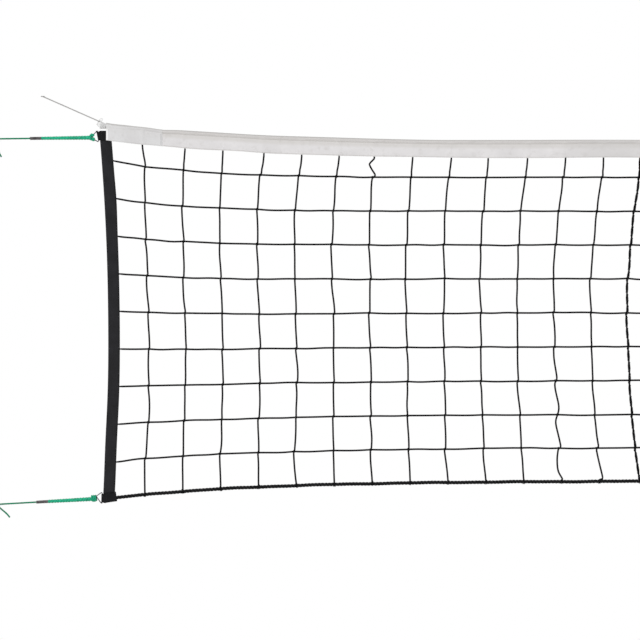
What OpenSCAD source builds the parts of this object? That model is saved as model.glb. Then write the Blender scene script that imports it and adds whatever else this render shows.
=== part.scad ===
/* [Netting] */
// Length of one mesh along the net
mesh = 100; // [90:1:110]
// Meshes along the net
meshes_long = 95; // [60:1:100]
// Meshes down the net, the last one laced to the bottom rope
meshes_high = 10; // [8:1:12]
// Hung height of one mesh at mid-span
row_pitch = 89.3; // [85:0.1:95]
// Hung height of the last mesh at mid-span
last_row_pitch = 86; // [80:1:92]
// From the tape's lower edge down to the first row of knots at mid-span
first_row_drop = 51; // [45:1:60]
// Thickness of the netting cord
net_cord_d = 3.4; // [2.5:0.1:3.5]
// Meshes from each end to the seam between two panels of netting
meshes_to_seam = 14; // [8:1:20]
// Thickness of the seam's doubled cord
seam_d = 5; // [4.4:0.1:6]

/* [Hang] */
// How far each corner is drawn up or down past the lines at mid-span
corner_pull = 47.5; // [35:0.5:60]
// Length over which the tape climbs to its corner
tape_climb_l = 900; // [700:10:1100]
// Part of the climb that comes only at the corner
corner_kick = 11.5; // [6:0.5:16]
// Length over which that part dies away
corner_kick_l = 80; // [60:5:110]
// Length over which the first row settles to its level
row_settle_l = 211; // [150:1:260]
// Length over which the bottom rope settles to its level
rope_settle_l = 369; // [300:1:450]
// How far the bowed side band pushes the columns inwards
band_push = 14; // [10:0.5:17]
// Shortening of the rows at mid-height, as a share of the length
gather = 0.028; // [0.015:0.001:0.03]
// Length from each end over which the gather adds up
gather_l = 1400; // [1000:50:1800]
// Length over which the gather dies away after that
gather_fade_l = 1200; // [800:50:1400]

/* [Top tape] */
// Height of the folded tape
tape_w = 48; // [44:1:55]
// Thickness of one layer of the tape
tape_t = 0.8; // [0.6:0.1:1.1]
// How far the tape reaches past the first column
tape_over = 3; // [2:0.5:4]
// Length of the double end of the tape
tape_end_l = 145; // [120:1:180]
// Thickness of the double end's cloth
tape_end_t = 0.7; // [0.5:0.1:1]

/* [Top rope] */
// Thickness of the top rope
rope_d = 3.2; // [2.8:0.1:3.3]
// From the first column out to the end of the top rope
rope_reach = 173; // [160:1:190]
// Height of the rope's end above the tape's top edge at mid-span
rope_rise = 115; // [105:1:125]
// Inner width of the eye at the rope's end
rope_eye_w = 6; // [5:0.5:8]
// Thickness of the cord that ties the tape's corner to the rope
tie_d = 2.4; // [2:0.1:2.5]

/* [Bottom rope] */
// Thickness of the bottom rope
bottom_rope_d = 7.5; // [6:0.1:7.6]

/* [Side bands] */
// Width of the webbing folded over the net's end
band_w = 30; // [26:1:34]
// Thickness of one layer of the webbing
band_t = 0.9; // [0.7:0.1:1.2]
// How far the band bows towards the net over half its length
band_bow = 18.3; // [14:0.1:21]
// Place of the band where its bow is deepest, past the first column
band_in = 19; // [15:0.5:22]
// How far below the middle of the band its bow is deepest
bow_drop = 70; // [40:5:100]

/* [Corner straps] */
// Width of the corner straps
strap_w = 25; // [23:0.5:26]
// Thickness of one layer of the corner straps
strap_t = 0.9; // [0.7:0.1:1.2]
// Length of a strap from its ring to its sewn end
upper_strap_l = 54; // [48:1:60]
// Length of a lower strap from its ring to its sewn end
lower_strap_l = 38; // [34:1:42]
// From the fold of the side band out to the straight leg of a ring
ring_to_band = 3.2; // [3:0.1:4.5]
// Height of the upper strap's middle above the tape's top edge at mid-span
upper_strap_z = 11; // [9:0.5:12]

/* [Rings] */
// Thickness of the ring's wire
wire_d = 2.5; // [2:0.1:2.8]
// From the ring's straight leg to its tip
ring_depth = 16; // [14:0.5:18]
// Bend radius of the wire beside the straight leg
ring_corner_r = 2; // [1.6:0.1:2.4]
// Bend radius of the wire at the tip
ring_tip_r = 2.5; // [2:0.1:3]
// Gap along the leg between each strap edge and the ring's bends
leg_play = 0.2; // [0.1:0.05:0.4]
// Running clearance of the ring's leg in its strap
run_clear = 0.05; // [0.03:0.01:0.09]

/* [Tension lines] */
// Thickness of the single line
line_d = 3.5; // [3:0.1:3.6]
// Thickness of the line where it is hitched to the ring
hitch_d = 3.6; // [3.2:0.1:3.7]
// Length of the spliced part
splice_l = 120; // [100:1:140]
// Thickness of the splice at the ring
splice_big_d = 9.7; // [9:0.1:10.5]
// Thickness of the splice at its far end
splice_small_d = 6.4; // [5.5:0.1:7]
// Length of the whipping behind the splice
whipping_l = 31; // [25:1:36]
// Thickness of the whipping
whipping_d = 6.2; // [5.5:0.1:7]
// Slope of the upper lines, down and outwards
upper_slope = 1.7; // [0:0.1:4]
// Slope of the lower lines, down and outwards
lower_slope = 3.36; // [0:0.1:5]
// Turns of the barrel knot
knot_turns = 3; // [2:1:4]
// Thickness of the line as it is wound in the knot
knot_cord_d = 3.4; // [3:0.1:3.6]

/* [Hidden] */

$fn = 48;
net_l = mesh * meshes_long;
seat = 0.1;                                   // gap between layers that are sewn or laid together
push_skew = 1.22;                             // how far the band's push peaks below mid-height
push_sharp = 2.15;
gather_sharp = 1.16;
netting_sides = 6;
cord_sides = 8;
ring_sides = 10;
bend_steps = 4;
leg_lap = 1;                                  // how far the bent wire runs on inside the straight leg

// Half gaps between the two layers of each folded piece
cord_gap = net_cord_d / 2 + seat;
band_half = cord_gap + band_t;
upper_strap_gap = band_half + seat;
lower_strap_gap = bottom_rope_d / 2 + seat;
tape_corner_gap = upper_strap_gap + strap_t + seat;

// Levels inside the top fold, measured down from the tape's top edge
rope_drop = tape_t + seat + rope_d / 2;
head_cord_drop = rope_drop + rope_d / 2 + seat + net_cord_d / 2;

// Levels at mid-span, measured from the tape's top edge there
first_row_z = -(tape_w + first_row_drop);
mid_rows = meshes_high - 2 + last_row_pitch / row_pitch;
bottom_z = first_row_z - mid_rows * row_pitch;

// Places of the upper and lower corner hardware
bottom_corner_z = bottom_z - corner_pull;
lower_strap_z = bottom_corner_z + 1;
band_top_z = upper_strap_z + strap_w / 2 - 1;
band_end_z = bottom_corner_z + bottom_rope_d / 2 + 5;
band_half_l = (band_top_z - band_end_z) / 2;
bow_z = band_end_z + band_half_l - bow_drop;
upper_ring_out = band_w / 2 + ring_to_band - band_x(band_top_z);
lower_ring_out = band_w / 2 + ring_to_band - band_x(band_end_z);

// The tape lies wide over the upper strap's end, and narrows past it
tape_wide_l = upper_strap_l - upper_ring_out + 10;
tape_slim_l = tape_wide_l + 50;

// The ring's slanting legs close on its tip at this angle to the level
ring_leg_l = strap_w + 2 * leg_play;
ring_tip_x = ring_depth - ring_tip_r;
ring_slant = atan2(ring_leg_l / 2, ring_tip_x - ring_corner_r)
    - asin((ring_tip_r - ring_corner_r) / norm([ring_tip_x - ring_corner_r, ring_leg_l / 2]));

// Distances of the line's pieces from the ring's tip
splice_x = 10;
whipping_x = splice_x + splice_l;
line_x = whipping_x + whipping_l;
knot_x = 266;
strand_step = 3.8;                            // between the two strands in the knot

// Distances from the net's end at which the curved pieces have a ring of points
end_stations = [60, 130, 220, 340, 500, 720, 1050, 1500];
tape_stations = [20, tape_wide_l, tape_slim_l, tape_end_l - tape_over, 220, 340, 500, 680, 850];

// The seam's doubled cord ends at the tape's open edge
seam_top = tape_top(meshes_to_seam * mesh) - tape_w;

// Half of the hitch, from the splice round the ring's tip to the middle of its bight
hitch_half = [
    [-10, 0, 1.9], [-7.5, 0, 1.9], [-5, 1.2, 1.9], [-2.4, 2.8, 2.1], [1, 3.5, 2.6],
    [4, 3.2, 2.6], [5.6, 1.7, 2.4], [5.8, -1.7, 2.6], [3.4, -3.4, 4.6], [0.2, -3.4, 6.2],
    [-3.2, -3.3, 5.6], [-5.8, -3.4, 3.2], [-6.4, -3.5, 0]
];

// The lines' routes, x and z from the ring's tip along the sloping line
loop_route = [
    [-190, 0], [-220, 0], [-250, 0], [-266, 0], [-278, 1], [-288, 6], [-300, 11], [-312, 10],
    [-319, 2], [-316, -7], [-305, -13], [-292, -12], [-281, -6], [-272, -3.8], [-262, -3.8]
];
upper_tail = [[-255, -5.5], [-250, -11], [-248, -20], [-247.5, -30], [-245.5, -39], [-241, -47.5]];
lower_tail = [[-257, -7.5], [-251, -13.5], [-242.5, -21.5], [-236, -28.5], [-230.5, -36]];

// The tie's route at the left corner, from the first column and the tape's top edge at mid-span
tie_route = [
    [-2.6, 0, 31.5], [-8, -1.5, 33], [-15, -3, 35.5], [-21, -3.6, 39], [-25, -3.6, 43.5], [-25.2, -3.3, 49],
    [-22.5, -3.1, 53], [-20, -1.9, 55.5], [-18.4, 1.8, 55.2], [-19, 3.3, 52], [-19.5, 2.6, 48.6],
    [-17, -0.4, 46.6], [-14, -2.9, 47.5], [-14.5, -3.2, 51], [-16.5, -2.9, 54.6], [-19.5, -3.4, 57.5]
];

// Heights of the hung lines, at a distance e from the nearer end
function tape_top(e) =
    (corner_pull - corner_kick) * pow(max(0, 1 - max(0, e) / tape_climb_l), 1.5)
    + corner_kick * exp(-max(0, e) / corner_kick_l);
function first_row(e) = first_row_z + corner_pull * exp(-e / row_settle_l);
function bottom_line(e) = bottom_z - corner_pull * exp(-e / rope_settle_l);
function row_z(j, e) =
    j == 0 ? tape_top(e) - head_cord_drop :
    j == meshes_high ? bottom_line(e) :
    first_row(e) - (first_row(e) - bottom_line(e)) * (j - 1) / mid_rows;

// How far the netting is moved sideways: pushed in by the band below mid-height, and drawn back
// by its own rows at mid-height, from no move at the first row to no move at the bottom rope
function ease(t) = let (c = min(1, max(0, t))) 1 - c * c * (3 - 2 * c);
function fade(e) = ease((e - gather_l) / gather_fade_l);
function share_down(e, z) = min(1, max(0, (first_row(e) - z) / (first_row(e) - bottom_line(e))));
function push_share(s) = pow(sin(180 * pow(s, push_skew)), push_sharp);
function gather_share(s) = pow(sin(180 * s), gather_sharp);
function sideways(e, z) = let (s = share_down(e, z))
    fade(e) * (band_push * push_share(s) - gather * min(e, gather_l) * gather_share(s));
function band_x(z) = band_in - band_bow * pow((z - bow_z) / band_half_l, 2);
function column_x(e, z) = e == 0 ? max(0, band_x(z)) : e + sideways(e, z);

// A piece's stations along the whole net, from distances at one end
function both_ends(start, list) = concat(
    [start], list, [for (i = [len(list) - 1:-1:0]) net_l - list[i]], [net_l - start]
);
function end_of(u) = min(u, net_l - u);

// Directions and rings along a route
function unit(v) = v / norm(v);
function heading(path, i) = unit(path[min(i + 1, len(path) - 1)] - path[max(i - 1, 0)]);
function level(v, t) = unit(v - (v * t) * t);
function normals(path, seed) = [
    for (i = 0, n = level(seed, heading(path, 0));
        i < len(path);
        i = i + 1, n = i < len(path) ? level(n, heading(path, i)) : n) n
];
function ring_points(c, n, b, r, sides) = [
    for (s = [0:sides - 1]) c + r * (cos(360 * s / sides) * n + sin(360 * s / sides) * b)
];

// Outline of a strip folded in half: its fold at 0, its open edges at w
function folded(w, gap, t) = concat(
    [[w, gap + t]],
    [for (a = [90:45:270]) [gap + t + (gap + t) * cos(a), (gap + t) * sin(a)]],
    [[w, -gap - t], [w, -gap]],
    [for (a = [270:-45:90]) [gap + t + gap * cos(a), gap * sin(a)]],
    [[w, gap]]
);

module loft(rings) {
    n = len(rings[0]);
    last = (len(rings) - 1) * n;
    polyhedron(
        points = [for (r = rings) each r],
        faces = concat(
            [for (i = [0:len(rings) - 2]) for (s = [0:n - 1])
                [i * n + s, (i + 1) * n + s, (i + 1) * n + (s + 1) % n]],
            [for (i = [0:len(rings) - 2]) for (s = [0:n - 1])
                [i * n + s, (i + 1) * n + (s + 1) % n, i * n + (s + 1) % n]],
            [for (k = [0:n / 2 - 2]) [k, k + 1, n - 2 - k, n - 1 - k]],
            [for (k = [0:n / 2 - 2]) [last + n - 1 - k, last + n - 2 - k, last + k + 1, last + k]]
        ),
        convexity = 10
    );
}

module tube(path, d, sides, seed = [0, 1, 0]) {
    n = normals(path, seed);
    loft([for (i = [0:len(path) - 1])
        ring_points(path[i], n[i], cross(heading(path, i), n[i]), d / 2, sides)]);
}

module rod(from, to, d) {
    v = to - from;
    translate(from)
        rotate([0, acos(v.z / norm(v)), atan2(v.y, v.x)])
            cylinder(h = norm(v), d = d);
}

// Places: the net in the part's frame, one of its ends, and a corner's ring
module net_frame() { translate([rope_reach, 0, -rope_rise]) children(); }

module net_end(side) {
    net_frame() {
        if (side == "left") children();
        if (side == "right") translate([net_l, 0, 0]) mirror([1, 0, 0]) children();
    }
}

module corner(level, side) {
    upper = level == "upper";
    net_end(side)
        translate([upper ? -upper_ring_out : -lower_ring_out, 0, upper ? upper_strap_z : lower_strap_z])
            children();
}

module sloping_line(level, side) {
    corner(level, side)
        translate([-ring_depth, 0, 0])
            rotate([0, level == "upper" ? -upper_slope : -lower_slope, 0])
                children();
}

// Top edge
function tape_gap(e) =
    e < tape_wide_l ? tape_corner_gap :
    e < tape_slim_l ? tape_corner_gap + (cord_gap - tape_corner_gap) * (e - tape_wide_l) / (tape_slim_l - tape_wide_l) :
    cord_gap;

module top_tape() {
    stations = both_ends(-tape_over, tape_stations);
    color("gainsboro")
        net_frame()
            loft([for (u = stations) [for (p = folded(tape_w, tape_gap(end_of(u)), tape_t))
                [u, p.y, tape_top(end_of(u)) - p.x]]]);
}

module tape_end(side) {
    stations = concat([-tape_over], [for (i = [0:3]) tape_stations[i]]);
    lift = tape_end_t + seat;
    color("whitesmoke")
        net_end(side)
            loft([for (u = stations) [for (p = folded(tape_w + lift, tape_gap(u) + tape_t + seat, tape_end_t))
                [u, p.y, tape_top(u) + lift - p.x]]]);
}

module top_rope() {
    inside = both_ends(-tape_over, tape_stations);
    color("lightgray")
        net_frame()
            tube(concat(
                [[-rope_reach, 0, rope_rise]],
                [for (u = inside) [u, 0, tape_top(end_of(u)) - rope_drop]],
                [[net_l + rope_reach, 0, rope_rise]]
            ), rope_d, cord_sides);
}

module rope_eye(side) {
    eye_r = (rope_eye_w + rope_d) / 2;
    color("lightgray")
        net_end(side)
            translate([-rope_reach, 0, rope_rise])
                rotate_extrude()
                    translate([eye_r, 0]) circle(d = rope_d);
}

module corner_tie(side) {
    color("whitesmoke")
        net_end(side)
            tube(tie_route, tie_d, cord_sides, [0, 0, 1]);
}

// Netting
module column(k, d, top_z) {
    u = k * mesh;
    e = end_of(u);
    low = bottom_line(e);
    levels = [top_z, first_row(e), for (f = [0.28, 0.46, 0.64, 0.82, 1]) top_z + (low - top_z) * f];
    if (fade(e) < 0.02) {
        rod([u, 0, low], [u, 0, top_z], d);
    } else {
        path = [for (z = levels) [u < net_l / 2 ? column_x(e, z) : net_l - column_x(e, z), 0, z]];
        tube(path, d, netting_sides);
    }
}

module netting_columns() {
    color("black")
        net_frame()
            for (k = [0:meshes_long])
                if (k == meshes_to_seam || k == meshes_long - meshes_to_seam)
                    rod([k * mesh, 0, seam_top], [k * mesh, 0, row_z(0, end_of(k * mesh))], net_cord_d);
                else
                    column(k, net_cord_d, row_z(0, end_of(k * mesh)));
}

module row(j, list) {
    start = column_x(0, row_z(j, 0));
    tube([for (u = both_ends(start, list)) [u, 0, row_z(j, end_of(u))]], net_cord_d, netting_sides);
}

module head_cord() {
    color("black")
        net_frame()
            row(0, tape_stations);
}

module netting_rows() {
    color("black")
        net_frame()
            for (j = [1:meshes_high - 1])
                row(j, end_stations);
}

module panel_seam(side) {
    color("black")
        net_end(side)
            column(meshes_to_seam, seam_d, seam_top);
}

module bottom_rope() {
    start = lower_strap_l / 4 - lower_ring_out;
    color("black")
        net_frame()
            tube([for (u = both_ends(start, end_stations)) [u, 0, bottom_line(end_of(u))]],
                bottom_rope_d, cord_sides);
}

// Ends of the net
module side_band(side) {
    levels = [for (i = [0:11]) band_end_z + (band_top_z - band_end_z) * i / 11];
    color("#1e1e22")
        net_end(side)
            loft([for (z = levels) [for (p = folded(band_w, cord_gap, band_t))
                [band_x(z) - band_w / 2 + p.x, p.y, z]]]);
}

// Plan of a strap's outer or inner face, widening from its ring to its sewn end
module strap_plan(root_x, root_y, neck, y, l) {
    polygon([[root_x, root_y], [neck, y], [l, y], [l, -y], [neck, -y], [root_x, -root_y]]);
}

module strap(level, side) {
    upper = level == "upper";
    gap = upper ? upper_strap_gap : lower_strap_gap;
    l = upper ? upper_strap_l : lower_strap_l;
    bore = wire_d / 2 + run_clear;
    neck = gap + 0.6;
    color("#232327")
        corner(level, side)
            difference() {
                union() {
                    cylinder(h = strap_w, r = bore + strap_t, center = true);
                    linear_extrude(height = strap_w, center = true)
                        strap_plan(0, bore + strap_t / 2, neck, gap + strap_t, l);
                }
                cylinder(h = strap_w + 2, r = bore, center = true);
                linear_extrude(height = strap_w + 2, center = true)
                    strap_plan(bore / 2, 0.3, neck, gap, l + 1);
            }
}

// Ring: a straight round leg that turns in its strap, and the bent wire that closes the triangle
function bend(c, r, start, turn) = [
    for (i = [0:bend_steps]) let (a = start + turn * i / bend_steps) [c.x + r * cos(a), 0, c.y + r * sin(a)]
];

module ring(level, side) {
    half = ring_leg_l / 2;
    top = concat([[0, 0, half - leg_lap]], bend([-ring_corner_r, half], ring_corner_r, 0, 90 + ring_slant));
    tip = bend([-ring_tip_x, 0], ring_tip_r, 90 + ring_slant, 180 - 2 * ring_slant);
    low = [for (i = [len(top) - 1:-1:0]) [top[i].x, 0, -top[i].z]];
    color("silver")
        corner(level, side) {
            cylinder(h = ring_leg_l, d = wire_d, center = true);
            tube(concat(top, tip, low), wire_d * 0.99, ring_sides);
        }
}

// Tension line: hitch, splice, whipping, line with its loop and tail, knot
module hitch(level, side) {
    back = [for (i = [len(hitch_half) - 2:-1:0]) [hitch_half[i].x, hitch_half[i].y, -hitch_half[i].z]];
    color("mediumseagreen")
        sloping_line(level, side)
            tube(concat(hitch_half, back), hitch_d, cord_sides);
}

module splice(level, side) {
    color("mediumseagreen")
        sloping_line(level, side)
            translate([-splice_x, 0, 0])
                rotate([0, -90, 0])
                    cylinder(h = splice_l, d1 = splice_big_d, d2 = splice_small_d);
}

module whipping(level, side) {
    color("#6a6263")
        sloping_line(level, side)
            translate([-whipping_x, 0, 0])
                rotate([0, -90, 0])
                    cylinder(h = whipping_l, d = whipping_d);
}

module line(level, side) {
    route = concat([[-line_x, 0]], loop_route, level == "upper" ? upper_tail : lower_tail);
    color("seagreen")
        sloping_line(level, side)
            tube([for (p = route) [p.x, 0, p.y]], line_d, cord_sides);
}

module knot(level, side) {
    inner_r = (strand_step + line_d) / 2 + seat;
    pitch = knot_cord_d * 0.96;
    color("mediumseagreen")
        sloping_line(level, side)
            translate([-knot_x - pitch * (knot_turns - 1) / 2, 0, -strand_step / 2])
                rotate([0, 90, 0])
                    rotate_extrude()
                        for (i = [0:knot_turns - 1])
                            translate([inner_r + knot_cord_d / 2, i * pitch]) circle(d = knot_cord_d);
}

top_tape();
tape_end("left");  // tape_end_left
tape_end("right");  // tape_end_right
top_rope();
rope_eye("left");  // rope_eye_left
rope_eye("right");  // rope_eye_right
corner_tie("left");  // corner_tie_left
corner_tie("right");  // corner_tie_right
head_cord();
netting_columns();
netting_rows();
panel_seam("left");  // panel_seam_left
panel_seam("right");  // panel_seam_right
bottom_rope();
side_band("left");  // side_band_left
side_band("right");  // side_band_right
strap("upper", "left");  // strap_upper_left
strap("lower", "left");  // strap_lower_left
strap("upper", "right");  // strap_upper_right
strap("lower", "right");  // strap_lower_right
ring("upper", "left");  // ring_upper_left
ring("lower", "left");  // ring_lower_left
ring("upper", "right");  // ring_upper_right
ring("lower", "right");  // ring_lower_right
hitch("upper", "left");  // hitch_upper_left
hitch("lower", "left");  // hitch_lower_left
hitch("upper", "right");  // hitch_upper_right
hitch("lower", "right");  // hitch_lower_right
splice("upper", "left");  // splice_upper_left
splice("lower", "left");  // splice_lower_left
splice("upper", "right");  // splice_upper_right
splice("lower", "right");  // splice_lower_right
whipping("upper", "left");  // whipping_upper_left
whipping("lower", "left");  // whipping_lower_left
whipping("upper", "right");  // whipping_upper_right
whipping("lower", "right");  // whipping_lower_right
line("upper", "left");  // line_upper_left
line("lower", "left");  // line_lower_left
line("upper", "right");  // line_upper_right
line("lower", "right");  // line_lower_right
knot("upper", "left");  // knot_upper_left
knot("lower", "left");  // knot_lower_left
knot("upper", "right");  // knot_upper_right
knot("lower", "right");  // knot_lower_right
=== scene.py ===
import math
import bpy
import numpy as np
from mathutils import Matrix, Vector


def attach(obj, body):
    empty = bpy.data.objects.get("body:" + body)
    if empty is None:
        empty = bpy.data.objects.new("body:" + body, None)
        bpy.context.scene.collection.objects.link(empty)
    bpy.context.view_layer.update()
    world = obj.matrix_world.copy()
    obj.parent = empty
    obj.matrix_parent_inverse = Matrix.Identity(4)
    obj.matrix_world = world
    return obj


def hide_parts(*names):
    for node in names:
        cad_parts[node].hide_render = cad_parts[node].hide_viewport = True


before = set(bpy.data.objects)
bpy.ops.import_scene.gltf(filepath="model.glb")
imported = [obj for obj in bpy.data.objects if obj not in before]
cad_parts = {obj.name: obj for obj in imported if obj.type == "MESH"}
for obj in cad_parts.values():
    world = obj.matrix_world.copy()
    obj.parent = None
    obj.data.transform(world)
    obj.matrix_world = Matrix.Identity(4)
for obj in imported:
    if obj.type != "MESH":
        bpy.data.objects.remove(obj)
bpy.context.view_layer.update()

# Lengths below are in mm, from the first upright and the tape's top edge at mid-span, as in the CAD source
netOrigin = np.array([173.0, 0.0, -115.0])
netLength = 9500.0
mesh = 100.0
meshesLong = 95
meshesHigh = 10
seamColumn = 14
tapeHeight = 48.0
netEnds = ("left", "right")
netCorners = [(level, side) for side in netEnds for level in ("upper", "lower")]
random = np.random.default_rng(27)


def metres(points):
    return (np.asarray(points, float) + netOrigin) / 1000


def newShape():
    return {"points": [], "faces": [], "flows": [], "count": 0}


def addFaces(shape, points, faces, flows):
    for face, flow in zip(faces, flows):
        shape["faces"].append(face + shape["count"])
        shape["flows"].append(flow.reshape(-1, 2))
    shape["points"].append(points)
    shape["count"] += len(points)


# A surface through rows of points; flow is where each point lies across and along the cloth or cord
def addGrid(shape, points, across, along, closed=False, capped=False, flip=False):
    rows, columns = points.shape[:2]
    i, s = [a.ravel() for a in np.meshgrid(
        np.arange(rows - 1), np.arange(columns if closed else columns - 1), indexing="ij")]
    after = (s + 1) % columns
    corners = [(i, s, s), (i, after, s + 1), (i + 1, after, s + 1), (i + 1, s, s)]
    quads = np.stack([r * columns + c for r, c, f in corners], 1)
    flow = np.stack([np.stack([across[f], along[r]], 1) for r, c, f in corners], 1)
    faces, flows = [quads], [flow]
    if capped:
        for row, order in ((0, -1), (rows - 1, 1)):
            ring = (row * columns + np.arange(columns))[::order]
            faces.append(ring[None])
            flows.append(np.stack([across[:columns][::order], np.full(columns, along[row])], 1)[None])
    if flip:
        faces = [f[:, ::-1] for f in faces]
        flows = [f[:, ::-1] for f in flows]
    addFaces(shape, points.reshape(-1, 3), faces, flows)


def lengths(path):
    return np.concatenate([[0], np.cumsum(np.linalg.norm(np.diff(path, axis=0), axis=1))])


# A smooth curve through the given points, with a point every step
def smooth(points, step):
    p = np.asarray(points, float)
    p = np.vstack([2 * p[0] - p[1], p, 2 * p[-1] - p[-2]])
    route = []
    for a, b, c, d in zip(p, p[1:], p[2:], p[3:]):
        t = np.linspace(0, 1, max(2, int(np.linalg.norm(c - b) / step) + 1), endpoint=False)[:, None]
        square, cube = 2 * a - 5 * b + 4 * c - d, 3 * b - a - 3 * c + d
        route.append(0.5 * (2 * b + (c - a) * t + square * t**2 + cube * t**3))
    return np.vstack(route + [p[-2][None]])


def respaced(path, step):
    run = lengths(path)
    marks = np.linspace(0, run[-1], max(2, int(round(run[-1] / step)) + 1))
    return np.stack([np.interp(marks, run, path[:, i]) for i in range(3)], 1)


# Two directions across a path that turn as little as they can
def turning(path, seed):
    t = np.gradient(path, axis=0)
    t /= np.linalg.norm(t, axis=1)[:, None]
    n = np.empty_like(t)
    last = np.asarray(seed, float)
    for i, h in enumerate(t):
        last = last - last.dot(h) * h
        last /= math.sqrt(last.dot(last))
        n[i] = last
    return n, np.cross(t, n)


def addTube(shape, path, radius, sides=8, seed=(0, 1, 0)):
    path = np.asarray(path, float)
    n, b = turning(path, seed)
    angle = 2 * np.pi * np.arange(sides) / sides
    radius = np.broadcast_to(radius, len(path))[:, None, None]
    ring = n[:, None] * np.cos(angle)[:, None] + b[:, None] * np.sin(angle)[:, None]
    addGrid(shape, path[:, None] + ring * radius, np.arange(sides + 1) / sides, lengths(path), True, True)


# Twisted rope: strands laid round the path
def addTwist(shape, path, rope, step, sides):
    path = respaced(np.asarray(path, float), step)
    n, b = turning(path, (0, 1, 0))
    along = lengths(path)
    for strand in range(rope["strands"]):
        angle = (2 * np.pi * (along / rope["lay"] + strand / rope["strands"]))[:, None]
        strandPath = path + rope["offset"] * (n * np.cos(angle) + b * np.sin(angle))
        addTube(shape, strandPath, rope["strandRadius"], sides)


# Braided cord: two sets of strands wound opposite ways, over and under each other.
# The radius is one number, or those of its first and last point.
def addBraid(shape, path, radius, braid, step, seed=(0, 1, 0)):
    path = respaced(np.asarray(path, float), step)
    n, b = turning(path, seed)
    along = lengths(path)
    outer = np.interp(along, [0, along[-1]], np.broadcast_to(radius, 2))
    strandRadius = braid["strandShare"] * outer
    count = braid["strands"]
    for way in (1, -1):
        over = way * np.cos(2 * np.pi * count * along / braid["pitch"]) * braid["wave"] * strandRadius
        reach = (outer - strandRadius * (1 + braid["wave"]) + over)[:, None]
        for strand in range(count):
            angle = (2 * np.pi * (way * along / braid["pitch"] + strand / count))[:, None]
            strandPath = path + reach * (n * np.cos(angle) + b * np.sin(angle))
            addTube(shape, strandPath, strandRadius, braid["sides"], seed)


# Turns round a line along x
def helix(x, reach, turn):
    return np.stack([x, reach * np.cos(turn), reach * np.sin(turn)], 1)


# A route in the net's middle plane
def flatRoute(x, z):
    return np.stack([x, 0 * x, z], 1)


def makePiece(name, shape, material, body, slot, *solids):
    data = bpy.data.meshes.new(name)
    points = metres(np.concatenate(shape["points"])).astype(np.float32)
    loops = np.concatenate([f.ravel() for f in shape["faces"]]).astype(np.int32)
    sizes = np.concatenate([np.full(len(f), f.shape[1]) for f in shape["faces"]])
    data.vertices.add(len(points))
    data.vertices.foreach_set("co", points.ravel())
    data.loops.add(len(loops))
    data.loops.foreach_set("vertex_index", loops)
    data.polygons.add(len(sizes))
    data.polygons.foreach_set("loop_start", np.concatenate([[0], np.cumsum(sizes)[:-1]]).astype(np.int32))
    data.update(calc_edges=True)
    data.validate()
    flow = data.uv_layers.new(name="flow")
    flow.data.foreach_set("uv", np.concatenate(shape["flows"]).astype(np.float32).ravel())
    data.shade_smooth()
    data.set_sharp_from_angle(angle=math.radians(60))
    data.materials.append(material)
    piece = bpy.data.objects.new(name, data)
    bpy.context.scene.collection.objects.link(piece)
    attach(piece, body)
    if solids:
        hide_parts(*solids)
    return piece


# How the net hangs, as in the CAD source
hang = {
    "cornerPull": 47.5, "climbLength": 900.0, "cornerKick": 11.5, "kickLength": 80.0,
    "firstRow": -99.0, "rowSettle": 211.0, "bottom": -899.4, "ropeSettle": 369.0,
    "midRows": 8 + 86 / 89.3,
    "push": 14.0, "pushSkew": 1.22, "pushSharp": 2.15,
    "gather": 0.028, "gatherSharp": 1.16, "gatherLength": 1400.0, "fadeLength": 1200.0,
    "bandIn": 19.0, "bandBow": 18.3, "bowHeight": -527.825, "bandHalf": 480.325,
    "headCordDrop": 5.9, "ropeDrop": 2.5,
    # only in the visible cloth, as (place, reach, depth): where the tape is narrower, and hollows of its top
    # and of the band's edge
    "tapeNarrow": [(20, 60, 3.9), (142, 45, 4.5), (345, 60, 1.9), (830, 120, 2.0), (1340, 110, 1.2)],
    "tapeDips": [(0, 50, 3.6), (145, 30, 2.4), (420, 110, 1.6), (1290, 150, -0.8)],
    "bandDips": [(-800, 110, 2.3), (-480, 150, 0.4)],
}


def hollows(kind, at):
    return sum(depth * np.exp(-((at - place) / reach) ** 2) for place, reach, depth in hang[kind])


# In these, e is how far a place is from the nearer end of the net
def tapeTop(e):
    e = np.maximum(0, e)
    rise = (hang["cornerPull"] - hang["cornerKick"]) * np.maximum(0, 1 - e / hang["climbLength"]) ** 1.5
    return rise + hang["cornerKick"] * np.exp(-e / hang["kickLength"]) - hollows("tapeDips", e)


# The height of the tape's lower edge
def tapeEdge(u):
    return tapeTop(endOf(u)) - tapeHeight + hollows("tapeNarrow", endOf(u))


def firstRow(e):
    return hang["firstRow"] + hang["cornerPull"] * np.exp(-e / hang["rowSettle"])


def bottomLine(e):
    return hang["bottom"] - hang["cornerPull"] * np.exp(-e / hang["ropeSettle"])


def rowHeight(j, e):
    if j == 0:
        return tapeTop(e) - hang["headCordDrop"]
    if j == meshesHigh:
        return bottomLine(e)
    return firstRow(e) - (firstRow(e) - bottomLine(e)) * (j - 1) / hang["midRows"]


# The side band's middle bows inwards
def bandX(z):
    bow = hang["bandBow"] * ((z - hang["bowHeight"]) / hang["bandHalf"]) ** 2
    return hang["bandIn"] - bow - hollows("bandDips", z)


# The uprights are pushed in near the band and gathered further on, most at mid-height
def sideways(e, z):
    t = min(1, max(0, (e - hang["gatherLength"]) / hang["fadeLength"]))
    s = np.clip((firstRow(e) - z) / (firstRow(e) - bottomLine(e)), 0, 1)
    pushed = hang["push"] * np.maximum(0, np.sin(np.pi * s ** hang["pushSkew"])) ** hang["pushSharp"]
    gathered = hang["gather"] * min(e, hang["gatherLength"])
    drawn = gathered * np.maximum(0, np.sin(np.pi * s)) ** hang["gatherSharp"]
    return (1 - t * t * (3 - 2 * t)) * (pushed - drawn)


def endOf(u):
    return np.minimum(u, netLength - u)


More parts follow.
